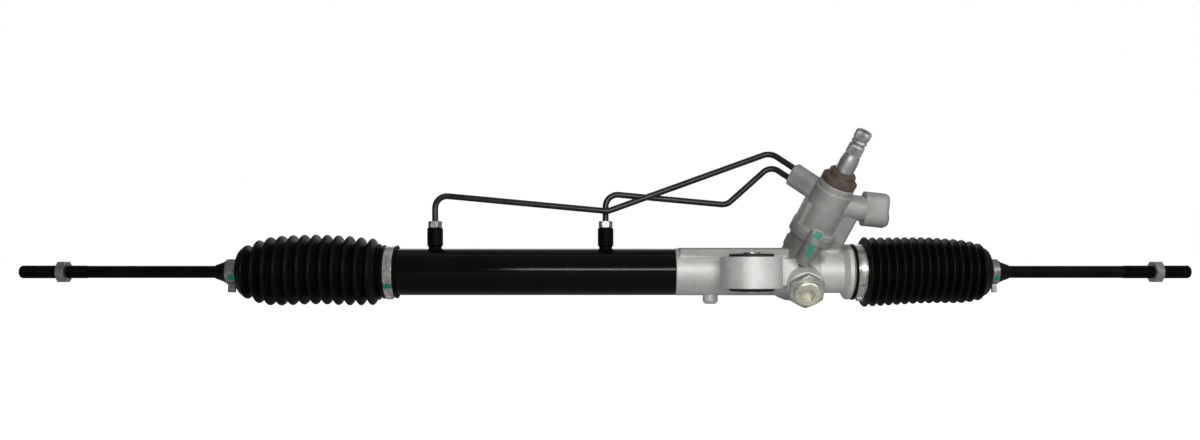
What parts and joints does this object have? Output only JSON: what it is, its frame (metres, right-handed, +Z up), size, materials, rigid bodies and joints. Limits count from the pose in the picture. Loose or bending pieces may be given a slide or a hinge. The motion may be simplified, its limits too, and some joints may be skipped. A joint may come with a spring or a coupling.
{
  "type": "steering rack",
  "caption": "Hydraulic power steering rack: rack and pinion in a cast housing with rotary valve, power cylinder, bellows boots and inner tie rods.",
  "frame": {"origin": "on the rack axis, in the middle of the power cylinder", "axes": "+X along the rack towards the pinion end, +Z up in the car, -Y towards the side of the mounting eye"},
  "size_m": [1.268, 0.1207, 0.1871],
  "materials": {
    "cast_aluminium": "sand-cast, painted silver grey",
    "black_enamel": "gloss black enamel",
    "line_coating": "dark coated steel tube",
    "zinc_plate": "bright zinc plate",
    "yellow_zinc": "yellow passivated zinc",
    "ground_steel": "ground steel",
    "phosphated_steel": "black phosphate",
    "band_steel": "stainless strip",
    "black_rubber": "moulded rubber",
    "cover_rubber": "greased rubber",
    "bearing_plastic": "moulded bearing plastic"
  },
  "bodies": {
    "housing": {"gear_housing": "cast_aluminium", "valve_housing": "cast_aluminium", "cylinder_tube": "black_enamel", "port_bosses": "black_enamel", "valve_bolts": "zinc_plate", "hose_port_seals": "black_rubber", "long_transfer_line": "line_coating", "short_transfer_line": "line_coating", "cylinder_line_nuts": "zinc_plate", "valve_line_nuts": "zinc_plate", "rack_guide": "cast_aluminium", "guide_liner": "bearing_plastic", "guide_spring": "ground_steel", "guide_plug": "yellow_zinc", "guide_lock_nut": "zinc_plate", "mount_bush_rubber": "black_rubber", "mount_bush_sleeve": "ground_steel", "rack_bush": "bearing_plastic", "left_rod_seal": "black_rubber", "right_rod_seal": "black_rubber", "right_seal_holder": "cast_aluminium", "cylinder_end_gland": "cast_aluminium", "gland_wire_ring": "ground_steel", "lower_needle_bearing": "ground_steel", "pinion_end_cap": "ground_steel", "pinion_seal": "black_rubber", "pinion_bearing_outer_race": "ground_steel", "pinion_bearing_balls": "ground_steel", "input_needle_bearing": "ground_steel", "input_seal": "black_rubber", "input_snap_ring": "ground_steel", "dust_cover": "cover_rubber", "left_boot": "black_rubber", "right_boot": "black_rubber", "left_boot_band": "band_steel", "right_boot_band": "band_steel"},
    "rack": {"rack_bar": "ground_steel", "piston": "ground_steel", "piston_ring": "bearing_plastic", "left_socket": "phosphated_steel", "right_socket": "phosphated_steel", "left_lock_washer": "ground_steel", "right_lock_washer": "ground_steel"},
    "pinion": {"pinion": "ground_steel", "pinion_bearing_inner_race": "ground_steel", "valve_sleeve": "ground_steel", "sleeve_rings": "bearing_plastic"},
    "input_shaft": {"input_shaft": "ground_steel", "torsion_bar": "ground_steel"},
    "left_seat": {"left_ball_seat": "bearing_plastic"},
    "right_seat": {"right_ball_seat": "bearing_plastic"},
    "left_tie_rod": {"left_tie_rod": "phosphated_steel", "left_jam_nut": "zinc_plate", "left_boot_clip": "band_steel"},
    "right_tie_rod": {"right_tie_rod": "phosphated_steel", "right_jam_nut": "zinc_plate", "right_boot_clip": "band_steel"}
  },
  "joints": [
    {"name": "rack_slide", "type": "slide", "parent": "housing", "child": "rack", "axis": [1, 0, 0], "range_m": [-0.072, 0.072], "deforming": ["left_boot", "right_boot"]},
    {"name": "pinion_turn", "type": "hinge", "parent": "housing", "child": "pinion", "pos_m": [0.3, 0.01263, 0.00714], "axis": [0.342, -0.4627, 0.8179], "range_deg": [-588.5, 588.5]},
    {"name": "input_twist", "type": "hinge", "parent": "pinion", "child": "input_shaft", "pos_m": [0.32052, -0.01514, 0.05622], "axis": [0.342, -0.4627, 0.8179], "range_deg": [-5, 5], "stiffness_Nm_per_rad": 90},
    {"name": "left_rod_tilt", "type": "hinge", "parent": "rack", "child": "left_seat", "pos_m": [-0.263, 0, 0], "axis": [0, 1, 0], "range_deg": [-20, 20]},
    {"name": "left_rod_swing", "type": "hinge", "parent": "left_seat", "child": "left_tie_rod", "pos_m": [-0.263, 0, 0], "axis": [0, 0, 1], "range_deg": [-20, 20]},
    {"name": "right_rod_tilt", "type": "hinge", "parent": "rack", "child": "right_seat", "pos_m": [0.447, 0, 0], "axis": [0, 1, 0], "range_deg": [-20, 20]},
    {"name": "right_rod_swing", "type": "hinge", "parent": "right_seat", "child": "right_tie_rod", "pos_m": [0.447, 0, 0], "axis": [0, 0, 1], "range_deg": [-20, 20]}
  ],
  "couplings": [
    {"joint": "pinion_turn", "follows": "rack_slide", "rad_per_m": 142.31}
  ]
}
